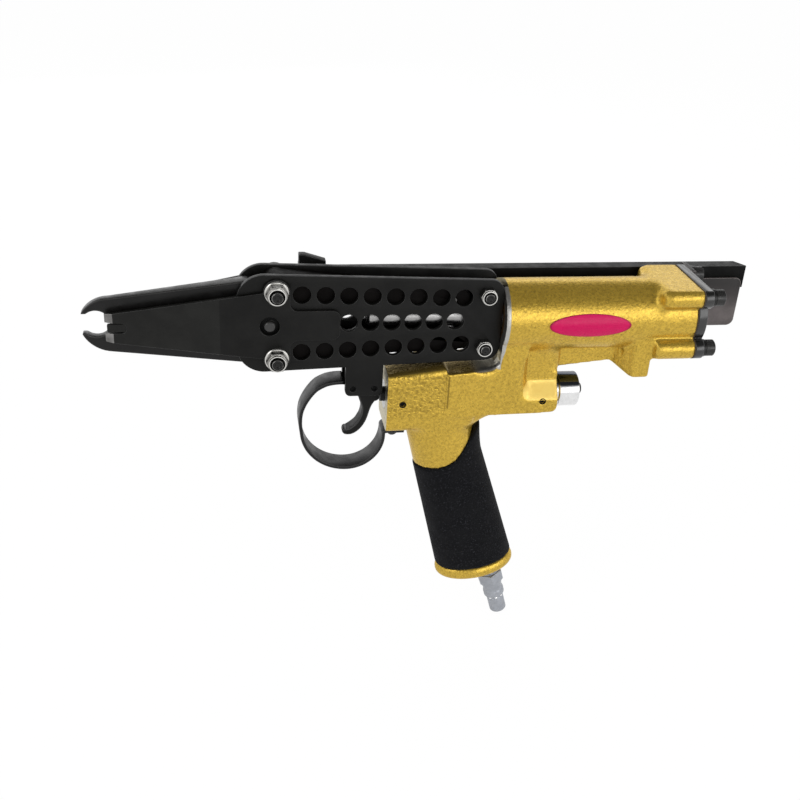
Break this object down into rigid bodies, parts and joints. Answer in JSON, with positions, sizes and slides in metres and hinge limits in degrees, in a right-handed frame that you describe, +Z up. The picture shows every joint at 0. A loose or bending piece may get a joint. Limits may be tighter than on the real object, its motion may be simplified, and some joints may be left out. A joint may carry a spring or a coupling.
{
  "type": "pneumatic ring stapler",
  "caption": "Hand held pneumatic ring stapler: hooked jaws between perforated plates, closed by a piston cone; cast pistol housing, trigger valve, side magazine rail and air plug.",
  "frame": {"origin": "centre of the hand grip on the tool's mid plane", "axes": "+X to the rear of the tool, along the bore axis; +Y to the magazine side; +Z up"},
  "size_m": [0.3592, 0.0592, 0.2242],
  "materials": {
    "gold_casting": "gold hammertone paint on cast aluminium",
    "black_steel": "blackened satin steel",
    "brown_steel": "dark brown blued steel",
    "bright_steel": "polished steel",
    "nickel": "nickel plated",
    "black_rubber": "matt foam rubber",
    "seal_rubber": "seal rubber",
    "bronze": "bearing bronze",
    "spring_steel": "spring steel",
    "aluminium": "turned aluminium",
    "gasket_paper": "gasket board",
    "magenta_label": "glossy printed foil"
  },
  "bodies": {
    "housing": {"main_body": "gold_casting", "grip_sleeve": "black_rubber", "side_plate_near": "black_steel", "side_plate_far": "black_steel", "nose_plate_near": "black_steel", "nose_plate_far": "black_steel", "nose_pin": "black_steel", "jaw_bolts": "black_steel", "jaw_nuts": "nickel", "rear_bolts": "black_steel", "rear_nuts": "nickel", "rod_bush": "bronze", "bumper": "seal_rubber", "return_spring": "spring_steel", "end_cap": "black_steel", "cap_gasket": "gasket_paper", "cap_screws": "black_steel", "cap_washers": "black_steel", "valve_sleeve": "bronze", "valve_spring": "spring_steel", "valve_end_cap": "aluminium", "valve_cap_screw": "black_steel", "locating_pins": "black_steel", "trigger_pin": "black_steel", "guard_pin": "black_steel", "trigger_guard": "black_steel", "guard_screw": "black_steel", "magazine_rail": "brown_steel", "feed_track": "black_steel", "rail_bracket": "brown_steel", "rail_stay": "black_steel", "air_plug": "aluminium", "oval_label": "magenta_label"},
    "piston": {"drive_rod": "bright_steel", "piston": "aluminium", "piston_seal": "seal_rubber", "piston_nut": "nickel"},
    "upper_jaw": {"upper_jaw": "black_steel", "upper_jaw_bush": "bronze", "upper_roller_pin": "bright_steel"},
    "upper_roller": {"upper_roller": "bright_steel"},
    "lower_jaw": {"lower_jaw": "black_steel", "lower_jaw_bush": "bronze", "lower_roller_pin": "bright_steel"},
    "lower_roller": {"lower_roller": "bright_steel"},
    "pusher": {"pusher": "black_steel", "feed_spring": "spring_steel"},
    "trigger": {"trigger": "black_steel"},
    "valve_stem": {"valve_stem": "black_steel", "stem_seals": "seal_rubber"}
  },
  "joints": [
    {"name": "piston_slide", "type": "slide", "parent": "housing", "child": "piston", "axis": [-1, 0, 0], "range_m": [0, 0.0285], "stiffness_N_per_m": 1500, "springref_m": -0.01, "deforming": ["return_spring"]},
    {"name": "upper_jaw_hinge", "type": "hinge", "parent": "housing", "child": "upper_jaw", "pos_m": [-0.10225, 0, 0.128], "axis": [0, -1, 0], "range_deg": [0, 3.05]},
    {"name": "lower_jaw_hinge", "type": "hinge", "parent": "housing", "child": "lower_jaw", "pos_m": [-0.10225, 0, 0.092], "axis": [0, 1, 0], "range_deg": [0, 3.05]},
    {"name": "upper_roller_spin", "type": "hinge", "parent": "upper_jaw", "child": "upper_roller", "pos_m": [-0.01225, 0, 0.1201], "axis": [0, 1, 0], "continuous": true},
    {"name": "lower_roller_spin", "type": "hinge", "parent": "lower_jaw", "child": "lower_roller", "pos_m": [-0.01225, 0, 0.0999], "axis": [0, 1, 0], "continuous": true},
    {"name": "pusher_slide", "type": "slide", "parent": "housing", "child": "pusher", "axis": [1, 0, 0], "range_m": [0, 0.19], "stiffness_N_per_m": 4, "springref_m": -0.5},
    {"name": "trigger_pivot", "type": "hinge", "parent": "housing", "child": "trigger", "pos_m": [-0.05135, 0, 0.0722], "axis": [0, -1, 0], "range_deg": [0, 14.05], "stiffness_Nm_per_rad": 0.4, "springref_deg": -5.73},
    {"name": "stem_slide", "type": "slide", "parent": "housing", "child": "valve_stem", "axis": [1, 0, 0], "range_m": [0, 0.00176], "deforming": ["valve_spring"]}
  ],
  "couplings": [
    {"joint": "upper_jaw_hinge", "follows": "piston_slide", "rad_per_m": 1.8594},
    {"joint": "lower_jaw_hinge", "follows": "piston_slide", "rad_per_m": 1.8594},
    {"joint": "trigger_pivot", "follows": "stem_slide", "rad_per_m": 138.89}
  ]
}
